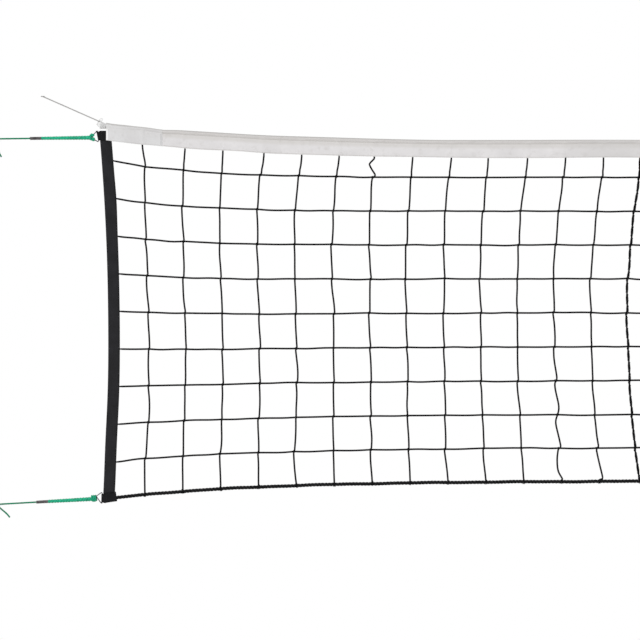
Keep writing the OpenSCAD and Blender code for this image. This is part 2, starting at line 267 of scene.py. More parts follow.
def mirrored(points, side):
    points = np.array(points, float)
    if side == "right":
        points[..., 0] = netLength - points[..., 0]
    return points


# From sRGB hex to linear light
def linear(hexColour):
    parts = [int(hexColour[i:i + 2], 16) / 255 for i in (1, 3, 5)]
    return [c / 12.92 if c <= 0.04045 else ((c + 0.055) / 1.055) ** 2.4 for c in parts] + [1]


# Values go to the inputs in order, or by number or name; a node as a value links its output that is in use
def addNode(tree, kind, inputs=(), **settings):
    node = tree.nodes.new("ShaderNode" + kind)
    for name, value in settings.items():
        setattr(node, name, value)
    for name, value in inputs.items() if isinstance(inputs, dict) else enumerate(inputs):
        if isinstance(value, bpy.types.Node):
            value = next(socket for socket in value.outputs if socket.enabled)
        if isinstance(value, bpy.types.NodeSocket):
            tree.links.new(value, node.inputs[name])
        else:
            node.inputs[name].default_value = value
    return node


def startMaterial(name):
    material = bpy.data.materials.new(name)
    material.use_nodes = True
    material.node_tree.nodes.clear()
    return material, material.node_tree


def finishMaterial(material, colour, height, depth, **inputs):
    tree = material.node_tree
    bump = addNode(tree, "Bump", {"Height": height, "Distance": depth / 1000, "Strength": 1.0})
    values = {name.replace("_", " "): value for name, value in inputs.items()}
    surface = addNode(tree, "BsdfPrincipled", {"Base Color": colour, "Normal": bump, **values})
    addNode(tree, "OutputMaterial", {"Surface": surface})
    return material


# Where a point lies across and along the cord or cloth
def flowParts(tree):
    parts = addNode(tree, "SeparateXYZ", [addNode(tree, "UVMap", uv_map="flow")])
    return parts.outputs[0], parts.outputs[1]


# Patches of noise in real space, size in mm
def patches(tree, size, detail=2.0, low=0.35, high=0.65):
    place = addNode(tree, "TexCoord").outputs["Object"]
    noise = addNode(tree, "TexNoise", {"Vector": place, "Scale": 1000 / size, "Detail": detail})
    return addNode(tree, "MapRange", [noise, low, high])


# Rounded ridges, one each spacing
def ridges(tree, value, spacing=1.0):
    turns = addNode(tree, "Math", [value, math.pi / spacing], operation="MULTIPLY")
    wave = addNode(tree, "Math", [turns], operation="SINE")
    return addNode(tree, "Math", [wave], operation="ABSOLUTE")


# Deepest between the ridges; a lower sharpness makes it narrower
def grooves(tree, ridge, sharpness):
    raised = addNode(tree, "Math", [ridge, sharpness], operation="POWER")
    return addNode(tree, "Math", [1.0, raised], operation="SUBTRACT")


# Full up to reach from a place, and gone at fade
def closeTo(tree, value, place, reach, fade):
    past = addNode(tree, "Math", [value, place], operation="SUBTRACT")
    gap = addNode(tree, "Math", [past], operation="ABSOLUTE")
    return addNode(tree, "MapRange", [gap, reach, fade, 1.0, 0.0], interpolation_type="SMOOTHSTEP")


# Colours over each other: each layer is where it lies, how strong it is, and its colour
def layered(tree, colour, layers):
    colour = linear(colour)
    for where, strength, over in layers:
        share = addNode(tree, "Math", [where, strength], operation="MULTIPLY")
        colour = addNode(tree, "Mix", {0: share, 6: colour, 7: linear(over)}, data_type="RGBA")
    return colour


# What most cords share; the looks below say where each differs
cordLook = {"yarns": 2, "groove": 0.5, "roughness": 0.5, "gloss": 0.12, "sheen": 0.0}


# Cord of twisted yarns: one ridge for each yarn, slanting by the lay
def cordMaterial(name, ownLook):
    look = {**cordLook, **ownLook}
    material, tree = startMaterial(name)
    across, along = flowParts(tree)
    slant = addNode(tree, "Math", [along, look["lay"]], operation="DIVIDE")
    yarns = ridges(tree, addNode(tree, "Math", [across, look["yarns"], slant], operation="MULTIPLY_ADD"))
    colour = layered(tree, look["colour"], [
        (patches(tree, look["patch"]), 1.0, look["worn"]),
        # painted shade: the shade colour lies in the grooves between the yarns
        (grooves(tree, yarns, look["groove"]), 1.0, look["shade"])])
    return finishMaterial(material, colour, yarns, look["depth"], Roughness=look["roughness"],
                          Specular_IOR_Level=look["gloss"], Sheen_Weight=look["sheen"], Sheen_Roughness=0.5)


# Knotted netting of twisted polyethylene, dyed black: dull, with a faint ribbing of yarns.
# The yarns' lay is 5 mm on the real cord and is drawn at 7 mm, so that it shows.
nettingCord = cordMaterial("blackTwistedPolyethyleneCord", {
    "colour": "#0e0e0f", "worn": "#17171a", "shade": "#050506", "yarns": 3, "lay": 7.0, "patch": 60,
    "groove": 0.6, "depth": 0.35, "roughness": 0.6, "gloss": 0.06})

# Laid polypropylene rope, black: a little shinier than the netting, with painted shade dark between its
# strands
bottomRopeYarn = cordMaterial("blackLaidPolypropyleneRope", {
    "colour": "#0f0f10", "worn": "#19191b", "shade": "#060607", "yarns": 5, "lay": 9.0, "patch": 45,
    "depth": 0.25})

# Braided polyester rope, white gone grey with use: matt, soft shadows between the yarns
topRopeYarn = cordMaterial("greyedBraidedPolyesterRope", {
    "colour": "#c3c2c1", "worn": "#b4b3b2", "shade": "#8b8a89", "lay": 3.0, "patch": 14,
    "depth": 0.12, "roughness": 0.75, "gloss": 0.3, "sheen": 0.1})

# Cotton tie cord, nearly white: dull and soft
tieYarn = cordMaterial("whiteCottonTieCord", {
    "colour": "#f8f8f8", "worn": "#ececec", "shade": "#c4c4c4", "lay": 2.6, "patch": 9,
    "depth": 0.12, "roughness": 0.85, "gloss": 0.2, "sheen": 0.15})

# Braided polypropylene line, green: waxy shine on the strands, painted shade in deep green between them; its
# colours are darker than the splice's, as painted shade on the thin line
greenLine = {"colour": "#159a6e", "worn": "#12855f", "shade": "#064431", "yarns": 3, "lay": 4.0, "patch": 8,
             "depth": 0.1, "roughness": 0.45}
greenLineYarn = cordMaterial("greenBraidedPolypropyleneLine", greenLine)

# The same line where it is spliced back into itself: looser, fuller, and brighter than the single line, which
# is painted darker as shade
greenSpliceYarn = cordMaterial("greenSplicedPolypropyleneLine", {
    **greenLine, "colour": "#37d5a5", "worn": "#30bb91", "shade": "#04412d", "lay": 5.0, "patch": 9,
    "groove": 0.9, "depth": 0.15})

# Waxed whipping twine, grey, with paler worn patches: tight glossy turns
whippingTwine = cordMaterial("greyWaxedWhippingTwine", {
    "colour": "#454344", "worn": "#747172", "shade": "#1a1819", "lay": 1.6, "patch": 7,
    "depth": 0.05, "roughness": 0.45, "gloss": 0.4})

# Polyester sewing thread, white and grey: slightly lustrous
sewingThread = {"colour": "#dedcd8", "worn": "#cfccc7", "shade": "#a5a29c", "lay": 1.2, "patch": 12,
                "groove": 0.6, "depth": 0.04, "gloss": 0.4}
whiteThread = cordMaterial("whitePolyesterSewingThread", sewingThread)
greyThread = cordMaterial("greyPolyesterSewingThread", {
    **sewingThread, "colour": "#8e8c8c", "worn": "#9a9898", "shade": "#6a6868"})

# Bonded nylon thread, black: smoother, with a faint gleam
blackThread = cordMaterial("blackBondedNylonThread", {
    **sewingThread, "colour": "#1b1b1d", "worn": "#27272a", "shade": "#0c0c0d",
    "roughness": 0.4, "gloss": 0.35})


# Vinyl-coated polyester cloth, calendered: smooth and faintly shiny, with the cloth's grain pressed through.
# Painted shade darkens its fold and, in a warm grey, its upper part.
def tapeMaterial(name, look):
    material, tree = startMaterial(name)
    across, along = flowParts(tree)
    threads = [ridges(tree, way, look["thread"]) for way in (across, along)]
    grain = addNode(tree, "Math", threads, operation="MULTIPLY")
    drop = addNode(tree, "Math", [across], operation="ABSOLUTE")
    # painted light: a stretch along the cloth, darker on the tape as painted shade and lighter on the end's
    # lip as a painted highlight
    paintedLightAt = closeTo(tree, along, look["paintedLightAt"], look["paintedLightReach"], look["paintedLightFade"])
    paintedLightEdge = (look["paintedLightDrop"], look["paintedLightDrop"] + 3.0)
    below = addNode(tree, "MapRange", [drop, *paintedLightEdge, 0.0, look["paintedLightShare"]])
    colour = layered(tree, look["colour"], [
        (patches(tree, 70, 3.0), 1.0, look["dull"]),
        # painted shade: the upper part darker, in a warm grey
        (closeTo(tree, drop, 0.0, 17.0, 27.0), look["upperShade"], look["upperShadeColour"]),
        (patches(tree, 16, 3.0, 0.55, 0.72), look["smudging"], look["smudge"]),
        (closeTo(tree, drop, look["seam"], 0.4, 2.2), look["seamDark"], look["line"]),
        (closeTo(tree, drop, look["hem"], 0.3, 1.8), look["hemDark"], look["line"]),
        # painted shade along the fold
        (closeTo(tree, drop, 0.0, 1.2, 5.0), look["foldShade"], look["foldShadeColour"]),
        (paintedLightAt, below, look["paintedLightColour"])])
    return finishMaterial(material, colour, grain, look["depth"], Roughness=look["roughness"],
                          Specular_IOR_Level=0.35, Sheen_Weight=0.05)


# The cloth's threads are 0.5 mm apart and drawn at 1.4 mm, so that the grain shows
tapeLook = {
    "colour": "#dfddde", "dull": "#d7d5d6", "upperShadeColour": "#cfccca", "smudge": "#b9b6b3", "line": "#b3b0ad",
    "foldShadeColour": "#aeacaa", "thread": 1.4, "seam": 10.5, "hem": 46.0, "depth": 0.12, "roughness": 0.5,
    "upperShade": 0.85, "smudging": 0.3, "seamDark": 0.6, "hemDark": 0.35, "foldShade": 0.9,
    # a greyer stretch along the tape, painted shade
    "paintedLightAt": 1360.0, "paintedLightReach": 60.0, "paintedLightFade": 190.0, "paintedLightDrop": -3.0, "paintedLightShare": 0.45,
    "paintedLightColour": "#c4c2c1",
}
tapeVinyl = tapeMaterial("whiteVinylCoatedPolyesterTape", tapeLook)
tapeEndVinyl = tapeMaterial("whiteVinylCoatedPolyesterEnd", {
    **tapeLook, "colour": "#d9d9da", "dull": "#d3d2d3", "upperShade": 0.15, "seamDark": 0.12,
    "hemDark": 0.3, "foldShade": 0.75, "smudging": 0.22,
    # the turned-in lip of its outer end is painted lighter, a painted highlight where it faces the light
    "paintedLightAt": -0.6, "paintedLightReach": 2.2, "paintedLightFade": 3.4, "paintedLightDrop": 15.0, "paintedLightShare": 0.8,
    "paintedLightColour": "#f4f4f4"})


# Polypropylene webbing, black, woven in a herringbone: matt, with ribs along it, painted shade between them,
# and darker near its edges.
# Its ribs are 1.2 mm apart and drawn at 1.8 mm, so that they show.
webbingLook = {"width": 60.0, "rib": 1.8, "chevron": 2.4, "colour": "#18181b", "worn": "#232327",
               "shade": "#09090a", "groove": 0.6, "depth": 0.3, "roughness": 0.65, "gloss": 0.2,
               "edge": "#050506", "turned": False}


def webbingMaterial(name, look):
    material, tree = startMaterial(name)
    across, along = flowParts(tree)
    if look["turned"]:
        across, along = along, across
    zigzag = addNode(tree, "Math", [across, look["rib"]], operation="PINGPONG")
    rise = addNode(tree, "Math", [zigzag, look["rib"]], operation="DIVIDE")
    run = addNode(tree, "Math", [along, look["chevron"]], operation="DIVIDE")
    threads = ridges(tree, addNode(tree, "Math", [run, rise], operation="ADD"))
    fromFold = addNode(tree, "Math", [across], operation="ABSOLUTE")
    edgeDarkening = addNode(tree, "MapRange", [fromFold, look["width"] / 2 - 4.5, look["width"] / 2 - 2])
    colour = layered(tree, look["colour"], [
        (patches(tree, 40, 3.0), 1.0, look["worn"]),
        # painted shade between the ribs
        (grooves(tree, threads, look["groove"]), 1.0, look["shade"]),
        (edgeDarkening, 0.8, look["edge"])])
    return finishMaterial(material, colour, threads, look["depth"], Roughness=look["roughness"],
                          Specular_IOR_Level=look["gloss"], Sheen_Weight=0.03)


bandWebbing = webbingMaterial("blackHerringboneWebbing", webbingLook)
# The straps' webbing is blacker and duller
strapWebbing = webbingMaterial("blackHerringboneStrap", {
    **webbingLook, "width": 25.0, "turned": True, "colour": "#101012", "worn": "#18181b", "gloss": 0.12})


# Galvanised steel wire: soft grey shine with a mottled zinc skin
def zincMaterial(name, look):
    material, tree = startMaterial(name)
    spots = patches(tree, look["size"], 3.0)
    colour = layered(tree, look["colour"], [(spots, 1.0, look["spot"])])
    rough = addNode(tree, "MapRange", {0: spots, 3: look["roughness"][0], 4: look["roughness"][1]})
    return finishMaterial(material, colour, spots, look["depth"], Metallic=1.0, Roughness=rough)


zincWire = zincMaterial("galvanisedSteelWire", {
    "colour": "#6c6c70", "spot": "#4a4a50", "size": 1.6, "depth": 0.03, "roughness": (0.28, 0.42)})
print("materials made")

# Straight at the net's left end and from far off, so that there is hardly any perspective; in m
view = {"width": 1.6886, "x": 0.7350, "z": -0.5899, "distance": 20.0}
camera = bpy.data.objects.new("camera", bpy.data.cameras.new("camera"))
bpy.context.scene.collection.objects.link(camera)
camera.data.lens = camera.data.sensor_width * view["distance"] / view["width"]
camera.data.clip_end = 200
camera.location = (view["x"], -view["distance"], view["z"])
camera.rotation_euler = (math.radians(90), 0, 0)
bpy.context.scene.camera = camera

# The top rope's free ends, from the tape's corners up to their eyes
topRope = {
    "diameter": 3.2, "drawn": 3.7, "core": 0.62, "start": -3.0, "reach": 169.5, "rise": 114.9,
    "eyeRadius": 3.9, "freeLength": 186.0,
    "braid": {"strands": 4, "pitch": 9.0, "strandShare": 0.36, "wave": 0.3, "sides": 5},
}


# A route inside the tape, a little below its top
def insideTape(u, drop):
    return flatRoute(u, tapeTop(endOf(u)) - drop)


corner = insideTape(np.array([topRope["start"]]), hang["ropeDrop"])[0]
outerEnd = np.array([-topRope["reach"], 0, topRope["rise"]])
coreRadius = topRope["core"] * topRope["diameter"] / 2
for side in netEnds:
    route = mirrored(corner + (outerEnd - corner) * np.linspace(0, 1, 18)[:, None], side)
    shape = newShape()
    addTube(shape, route, coreRadius)
    addBraid(shape, route, topRope["drawn"] / 2, topRope["braid"], 0.9)
    freeRope = makePiece(f"topRopeEnd_{side}", shape, topRopeYarn, "net", "rope_white", "top_rope")
    turn = np.linspace(0, 2 * np.pi, 33)
    circle = np.stack([np.cos(turn), np.sin(turn), 0 * turn], 1)
    eye = mirrored(outerEnd, side) + topRope["eyeRadius"] * circle
    shape = newShape()
    addBraid(shape, eye, topRope["diameter"] / 2, topRope["braid"], 0.8, seed=(0, 0, 1))
    addTube(shape, eye, coreRadius, seed=(0, 0, 1))
    ropeEye = makePiece(f"topRopeEye_{side}", shape, topRopeYarn, "net", "rope_white", f"rope_eye_{side}")

# The tension lines at the net's corners: where each ring's leg is, how its line runs, and what sits on the
# line, measured outwards from the ring's tip. whipping is a start and a length, splice the two diameters.
corners = {
    "upper": {"out": 23.2226, "z": 11.0, "slope": 1.7, "settle": 4.8, "lean": 0.08,
              "ringShift": -1.0, "tipLift": -2.6, "ringDepth": 18.0,
              "whipping": (134.5, 29.5), "splice": (12.0, 9.2), "spliceStart": 4.0, "hitch": 5.0,
              "tail": [(-255, -5.5), (-250, -11), (-248, -20), (-247.5, -30), (-245.5, -39), (-241, -47.5)]},
    "lower": {"out": 12.5548, "z": -945.9, "slope": 3.36, "settle": 0.7, "lean": -0.02,
              "ringShift": 1.1, "tipLift": 4.6, "ringDepth": 15.0,
              "whipping": (127.0, 31.0), "splice": (12.2, 9.8), "spliceStart": 11.0, "hitch": 5.2,
              "tail": [(-257, -7.5), (-251, -13.5), (-242.5, -21.5), (-236, -28.5), (-230.5, -36)]},
}
ring = {"wire": 2.6, "depth": 16.0, "leg": 23.4, "cornerBend": 2.0, "tipBend": 2.5}
line = {
    "diameter": 3.5, "drawn": 4.9, "core": 0.62, "length": 420.0, "settleLength": 280.0,
    "straight": [(-12, 0), (-60, 0), (-110, 0), (-161, 0)],
    "loop": [(-190, 0), (-220, 0), (-250, 0), (-266, 0), (-278, 1), (-288, 6), (-300, 11), (-312, 10),
             (-319, 2), (-316, -7), (-305, -13), (-292, -12), (-281, -6), (-272, -3.8), (-262, -3.8)],
    "braid": {"strands": 4, "pitch": 11.0, "strandShare": 0.36, "wave": 0.3, "sides": 5},
}
# The upper lines' hitches grip the ring's two wires, with turns round each between two places on it.
# The lower lines' are drawn tight into a stack of turns round the ring's tip.
hitch = {
    "core": 0.75,
    "high": {"tip": (-2.6, 4.0), "far": (2.6, 8.9), "reach": 3.3, "turns": 1.8, "way": 1},
    "low": {"tip": (-1.2, -2.3), "far": (5.2, -5.4), "reach": 3.0, "turns": 2.0, "way": -1},
    "stack": {"from": -12.4, "to": 0.6, "turns": 2.75, "phase": 0.6, "high": 7.1, "deep": 4.4, "middle": 1.3},
}
splice = {"braid": {"strands": 4, "pitch": 30.0, "strandShare": 0.41, "wave": 0.48, "sides": 7}, "core": 0.7}
whipping = {"diameter": 8.3, "twine": 1.0, "drawnTwine": 1.06, "inset": 0.5}
knot = {"place": -266.0, "turns": 3, "cord": 3.4, "core": 0.66, "strandStep": 3.8, "clearance": 0.1,
        "press": 0.96, "overrun": 0.04}


# From a line's own frame, along it from the ring's tip, to the net's; it settles a little towards its ring
def cornerPoints(points, level, side):
    at = corners[level]
    angle = math.radians(at["slope"])
    p = np.array(points, float)
    x = p[..., 0].copy()
    z = p[..., 2] - at["settle"] * np.clip(1 + x / line["settleLength"], 0, 1)
    p[..., 0] = x * math.cos(angle) - z * math.sin(angle) - at["out"] - ring["depth"]
    p[..., 2] = x * math.sin(angle) + z * math.cos(angle) + at["z"]
    return mirrored(p, side)


# Turns round one of the ring's wires, from its far place to the one at the tip; way is 1 above the middle
def wireTurns(wire):
    tip, far = [np.array([x, 0, z]) for x, z in (wire["tip"], wire["far"])]
    heading = (far - tip) / np.linalg.norm(far - tip)
    outward = np.array([-heading[2], 0, heading[0]]) * wire["way"]
    t = np.linspace(0, 1, int(wire["turns"] * 12) + 1)[:, None]
    turn = np.radians(60) + 2 * np.pi * wire["turns"] * (1 - t)
    around = outward * np.sin(turn) - np.array([0, 1, 0]) * np.cos(turn)
    return far + (tip - far) * t + wire["reach"] * around


# A cow hitch: out of the splice, round one wire, across the front, round the other wire and back again
def hitchRoute(level):
    if level == "lower":
        stack = hitch["stack"]
        t = np.linspace(0, 1, 60)
        turn = 2 * np.pi * stack["turns"] * t - stack["phase"]
        coil = np.stack([stack["from"] + (stack["to"] - stack["from"]) * t, -stack["deep"] * np.cos(turn),
                         stack["middle"] + stack["high"] * np.sin(turn)], 1)
        return np.vstack([[(-20, 0, -1.5)], coil, [(-5, 3.0, 4.0), (-12, 2.4, 2.5), (-20, 0, 1.5)]])
    high, low = [wireTurns(hitch[wire]) for wire in ("high", "low")]
    return np.vstack([[(-13, 0, 1.9), (-9.5, 1.0, 2.4)], high, [(-4.6, -5.4, 0.6)], low[::-1],
                      [(-9.5, 1.0, -2.4), (-13, 0, -1.9)]])


for level, side in netCorners:
    label = f"{level}_{side}"
    body = f"tension_line_{label}"
    at = corners[level]

    x, z = np.array(line["straight"] + line["loop"] + at["tail"], float).T
    route = cornerPoints(smooth(flatRoute(x, z), 3), level, side)
    shape = newShape()
    addBraid(shape, route, line["drawn"] / 2, line["braid"], 1.1)
    addTube(shape, respaced(route, 3), line["core"] * line["drawn"] / 2)
    linePiece = makePiece(f"tensionLine_{label}", shape, greenLineYarn, body, "line_green", f"line_{label}")

    wound = cornerPoints(smooth(hitchRoute(level), 1.0), level, side)
    shape = newShape()
    addBraid(shape, wound, at["hitch"] / 2, line["braid"], 0.9)
    addTube(shape, wound, hitch["core"] * at["hitch"] / 2)
    hitchPiece = makePiece(f"hitch_{label}Cord", shape, greenSpliceYarn, body, "line_green", f"hitch_{label}")

    start, length = at["whipping"]
    share = np.linspace(0, 1, 24)
    run = share * (at["spliceStart"] - start) - at["spliceStart"]
    axis = cornerPoints(flatRoute(run, 0 * run), level, side)
    sizes = np.array(at["splice"]) / 2
    shape = newShape()
    addBraid(shape, axis, sizes, splice["braid"], 1.2)
    addTube(shape, axis, np.interp(share, [0, 1], splice["core"] * sizes), 12)
    splicePiece = makePiece(f"splice_{label}Braid", shape, greenSpliceYarn, body, "line_green",
                            f"splice_{label}")

    turns = length / whipping["twine"]
    t = np.linspace(0, 1, int(turns * 14))
    reach = (whipping["diameter"] - whipping["twine"]) / 2
    coil = helix(-start - length * t, reach, 2 * np.pi * turns * t)
    under = [(-start - whipping["inset"], 0, 0), (-start - length + whipping["inset"], 0, 0)]
    shape = newShape()
    addTube(shape, cornerPoints(coil, level, side), whipping["drawnTwine"] / 2, 6, seed=(1, 0, 0))
    addTube(shape, cornerPoints(under, level, side), reach, 14)
    whippingPiece = makePiece(f"whipping_{label}Twine", shape, whippingTwine, body, "whipping_grey",
                              f"whipping_{label}")

    inner = (knot["strandStep"] + line["diameter"]) / 2 + knot["clearance"] + knot["cord"] / 2
    pitch = knot["cord"] * knot["press"]
    t = np.linspace(-knot["overrun"], 1 + knot["overrun"], 100)
    wound = helix(knot["place"] + pitch * knot["turns"] * (t - 0.5), inner, 2 * np.pi * knot["turns"] * t)
    wound = cornerPoints(wound - np.array([0, 0, knot["strandStep"] / 2]), level, side)
    shape = newShape()
    addBraid(shape, wound, knot["cord"] / 2, line["braid"], 1.0, seed=(1, 0, 0))
    addTube(shape, wound, knot["core"] * knot["cord"] / 2, seed=(1, 0, 0))
    knotPiece = makePiece(f"loopKnot_{label}", shape, greenLineYarn, body, "line_green", f"knot_{label}")

print("cords made")


def bend(centre, radius, start, turn, steps=8):
    angles = np.radians(start + turn * np.arange(steps + 1) / steps)
    return [(centre[0] + radius * math.cos(a), 0, centre[1] + radius * math.sin(a)) for a in angles]


# Once round the ring, from the middle of its straight leg
def ringRoute(depth):
    half, corner, tip = ring["leg"] / 2, ring["cornerBend"], ring["tipBend"]
    tipX = depth - tip
    run = math.hypot(tipX - corner, half)
    slant = math.degrees(math.atan2(half, tipX - corner) - math.asin((tip - corner) / run))
    high = bend((-corner, half), corner, 0, 90 + slant)
    tipBend = bend((-tipX, 0), tip, 90 + slant, 180 - 2 * slant)
    low = [(x, 0, -z) for x, y, z in reversed(high)]
    leg = [(0, 0, z) for z in np.linspace(-half, half, 9)]
    return np.array(leg[4:] + high[1:] + tipBend + low[:-1] + leg[:5])


for level, side in netCorners:
    at = corners[level]
    route = ringRoute(at["ringDepth"])
    tipShare = np.clip(-route[:, 0] / at["ringDepth"], 0, 1)
    route[:, 0] -= at["lean"] * route[:, 2]
    route[:, 2] += at["ringShift"] + tipShare * at["tipLift"]
    shape = newShape()
    addTube(shape, mirrored(route + np.array([-at["out"], 0, at["z"]]), side), ring["wire"] / 2, 14)
    makePiece(f"cornerRing_{level}_{side}", shape, zincWire, f"tension_line_{level}_{side}", "ring_steel",
              f"ring_{level}_{side}")

# sag and knotLean are a mean and a spread, jog and topDrift a least and a most
netting = {
    "cordRadius": 2.35, "rowRadius": 2.4, "slimRadius": 1.75, "slimRowRadius": 1.6, "sides": 6,
    "jog": (0.8, 4.2), "jogReach": 4.5, "bow": 0.9, "ripple": 0.45, "sag": (0.5, 0.6), "tilt": 0.35,
    "shift": 0.7, "lift": 0.5, "topDrift": (2.0, 9.0), "driftKept": 0.4, "driftHold": 0.45, "driftEnd": 0.72,
    "knotAcross": 2.4, "knotHigh": 1.84, "knotDeep": 2.7, "knotCord": 1.2, "knotLean": (0.6, 0.15),
}
# Slack stretches of single uprights near the left end: height, and how far it strays
slackUprights = {
    7: [(-38, 1.5), (-44, 2.2), (-49, 2.4), (-58, -6.0), (-64, -10.5), (-76, -5.0), (-92, 4.5), (-98, 1.5),
        (-110, 0)],
    12: [(-520, 0), (-560, -1.5), (-580, -1.0), (-625, 3.5), (-648, -1.5), (-700, 4.5), (-724, 0.5),
         (-750, -6.5), (-806, 3.0), (-816, 0.0), (-842, -6.5), (-872, -7.5), (-895, 2.5)],
    13: [(-560, 0), (-630, -1.0), (-715, 0.5), (-770, 2.5), (-806, 4.5), (-820, 1.5), (-886, 9.0),
         (-895, 6.0)],
}
# How far along the tape the first uprights enter it, past their place in the netting
topDrifts = {1: -7, 2: 7, 3: 6, 4: 12, 5: 13, 6: 11, 7: 2.5, 8: 7, 9: 7.5, 10: 6, 11: 10, 12: 6.5,
             13: 10, 14: 6}
# How much higher than its line each row hangs, and crossings that lie off their place: (column, row)
rowLifts = {2: 0.9, 3: 1.3, 4: 1.4, 5: 1.2, 6: 0.8, 7: 0.9, 8: 0.8, 9: 2.1}
strays = {
    (1, 1): (2.6, -1.6), (1, 4): (2.0, 0), (1, 8): (3.0, 0.8), (2, 3): (3.5, 1.0), (5, 9): (-5.0, 0),
    (6, 5): (3.2, 0), (7, 4): (4.8, 0), (9, 4): (3.4, 1.2), (9, 9): (-2.8, 0), (10, 5): (4.0, 0),
    (10, 7): (-3.0, 0), (11, 3): (3.5, 0), (11, 7): (-2.5, 0), (12, 1): (1.0, 0), (13, 1): (2.6, 0),
    (13, 2): (2.6, 0), (13, 3): (2.3, 0), (14, 1): (1.6, 0), (14, 2): (1.4, 0), (14, 3): (1.6, 0),
    (14, 9): (2.8, 0), (14, 10): (5.6, 0),
}


def crossing(k, j):
    u = k * mesh
    e = endOf(u)
    z = rowHeight(j, e)
    x = max(0.0, bandX(z)) if k in (0, meshesLong) else e + sideways(e, z)
    return (x if u < netLength / 2 else netLength - x), z


crossings = np.array([[crossing(k, j) for j in range(meshesHigh + 1)] for k in range(meshesLong + 1)])
inside = slice(1, meshesLong)
for way, spread in enumerate((netting["shift"], netting["lift"])):
    crossings[inside, 1:meshesHigh, way] += random.normal(0, spread, (meshesLong - 1, meshesHigh - 1))
for j, by in rowLifts.items():
    crossings[inside, j, 1] += by
for (k, j), (across, up) in strays.items():
    crossings[k, j] += (across, up)
drifts = np.array([topDrifts.get(k, random.uniform(*netting["topDrift"])) for k in range(meshesLong + 1)])
drifts[[0, meshesLong]] = 0
crossings[:, 1, 0] += netting["driftKept"] * drifts
jogs = random.uniform(*netting["jog"], (meshesLong + 1, meshesHigh + 1))
jogs[[0, meshesLong]] = 0
jogs[:, [0, meshesHigh]] = 0


# How much of an upright's drift is left at a share of the way down its first mesh
def driftLeft(t):
    if t > netting["driftEnd"]:
        return 1 - t
    kept, hold = netting["driftKept"], netting["driftHold"]
    return 1 - kept * t - (1 - kept) * max(0, t - hold) / (1 - hold)


# One upright: straight between knots but for a slack bow, with a small step sideways at each knot
def uprightRoute(k):
    points = []
    for j in range(meshesHigh):
        (x0, z0), (x1, z1) = crossings[k, j], crossings[k, j + 1]
        bow = random.normal(0, netting["bow"])
        ripple = random.normal(0, netting["ripple"])
        near = netting["jogReach"] / (z0 - z1)
        for t in (0, near, 0.16, 0.28, 0.4, 0.5, 0.6, 0.72, 0.84, 1 - near):
            low = (x0 - jogs[k, j] / 2) * (1 - t) + (x1 + jogs[k, j + 1] / 2) * t
            x = x0 if t == 0 else low + bow * math.sin(math.pi * t) + ripple * math.sin(2 * math.pi * t)
            if j == 0:
                x += drifts[k] * driftLeft(t)
            points.append((x, 0, z0 + (z1 - z0) * t))
    x, z = crossings[k, meshesHigh]
    route = np.array(points + [(x, 0, z)])
    if k not in slackUprights:
        return route
    dense = smooth(route, 4)
    marks = smooth([(z, 0, by) for z, by in slackUprights[k][::-1]], 2)
    order = np.argsort(marks[:, 0])
    dense[:, 0] += np.interp(dense[:, 2], marks[order, 0], marks[order, 2], 0, 0)
    return dense


# The cords are pressed thinner where the tape and the side bands hold them
def uprightRadius(k, route):
    if k in (0, meshesLong):
        return netting["slimRadius"]
    edge = tapeEdge(k * mesh)
    return np.interp(route[:, 2], [edge - 1, edge + 5], [netting["cordRadius"], netting["slimRadius"]])


def levelRadius(route):
    edge = bandX(route[0, 2]) + 15
    radii = [netting["slimRowRadius"], netting["rowRadius"]]
    return np.interp(endOf(route[:, 0]), [edge - 3, edge + 2], radii)


uprights = newShape()
for k in range(meshesLong + 1):
    if k not in (seamColumn, meshesLong - seamColumn):
        route = uprightRoute(k)
        addTube(uprights, route, uprightRadius(k, route), netting["sides"], seed=(1, 0, 0))
makePiece("nettingUprights", uprights, nettingCord, "net", "netting_black", "netting_columns")

levels = newShape()
for j in range(1, meshesHigh):
    points = []
    for k in range(meshesLong):
        (x0, z0), (x1, z1) = crossings[k, j], crossings[k + 1, j]
        sag = max(0, random.normal(*netting["sag"]))
        tilt = random.normal(0, netting["tilt"])
        for t in (0, 0.04, 0.12, 0.25, 0.38, 0.5, 0.62, 0.75, 0.88, 0.96):
            slack = tilt * math.sin(2 * math.pi * t) - sag * math.sin(math.pi * t)
            points.append((x0 + (x1 - x0) * t, 0, z0 + (z1 - z0) * t + slack))
    points.append((crossings[-1, j, 0], 0, crossings[-1, j, 1]))
    route = np.array(points)
    addTube(levels, route, levelRadius(route), netting["sides"], seed=(0, 0, 1))
makePiece("nettingLevels", levels, nettingCord, "net", "netting_black", "netting_rows")

# Knots: a closed turn of cord round each crossing, over one shoulder and under the other
knots = newShape()
turn = np.linspace(0, 2 * np.pi, 15)
for k in range(1, meshesLong):
    for j in range(1, meshesHigh):
        x = netting["knotAcross"] * np.cos(turn)
        z = netting["knotHigh"] * np.sin(turn) - random.normal(*netting["knotLean"]) * x
        y = netting["knotDeep"] * np.sin(2 * turn + 0.5)
        loop = np.stack([crossings[k, j, 0] + x, y, crossings[k, j, 1] + z], 1)
        addTube(knots, loop, netting["knotCord"], 5, seed=(0.3, 1, 0.2))
makePiece("nettingKnots", knots, nettingCord, "net", "netting_black", "netting_columns", "netting_rows")


# Places along the net from one end to the other, over its ends by the given length
def alongNet(over, first, step):
    return np.concatenate([[-over], np.arange(first, netLength, step), [netLength + over]])


head = newShape()
addTube(head, insideTape(alongNet(2, 18, 20), hang["headCordDrop"]), netting["slimRadius"])
makePiece("headCordRun", head, nettingCord, "net", "netting_black", "head_cord")

rope = newShape()
addTube(rope, insideTape(alongNet(3, 17, 20), hang["ropeDrop"]), topRope["diameter"] / 2)
makePiece("topRopeRun", rope, topRopeYarn, "net", "rope_white", "top_rope")
print("netting made")

# Panel seams: the edge cords of two widths of netting, laced together
panelSeam = {"strands": 2, "lay": 60.0, "offset": 1.25, "strandRadius": 2.35,
             "lacingReach": 3.0, "lacingFlat": 0.8, "lacingCord": 0.85, "lacingPitch": 15.0}

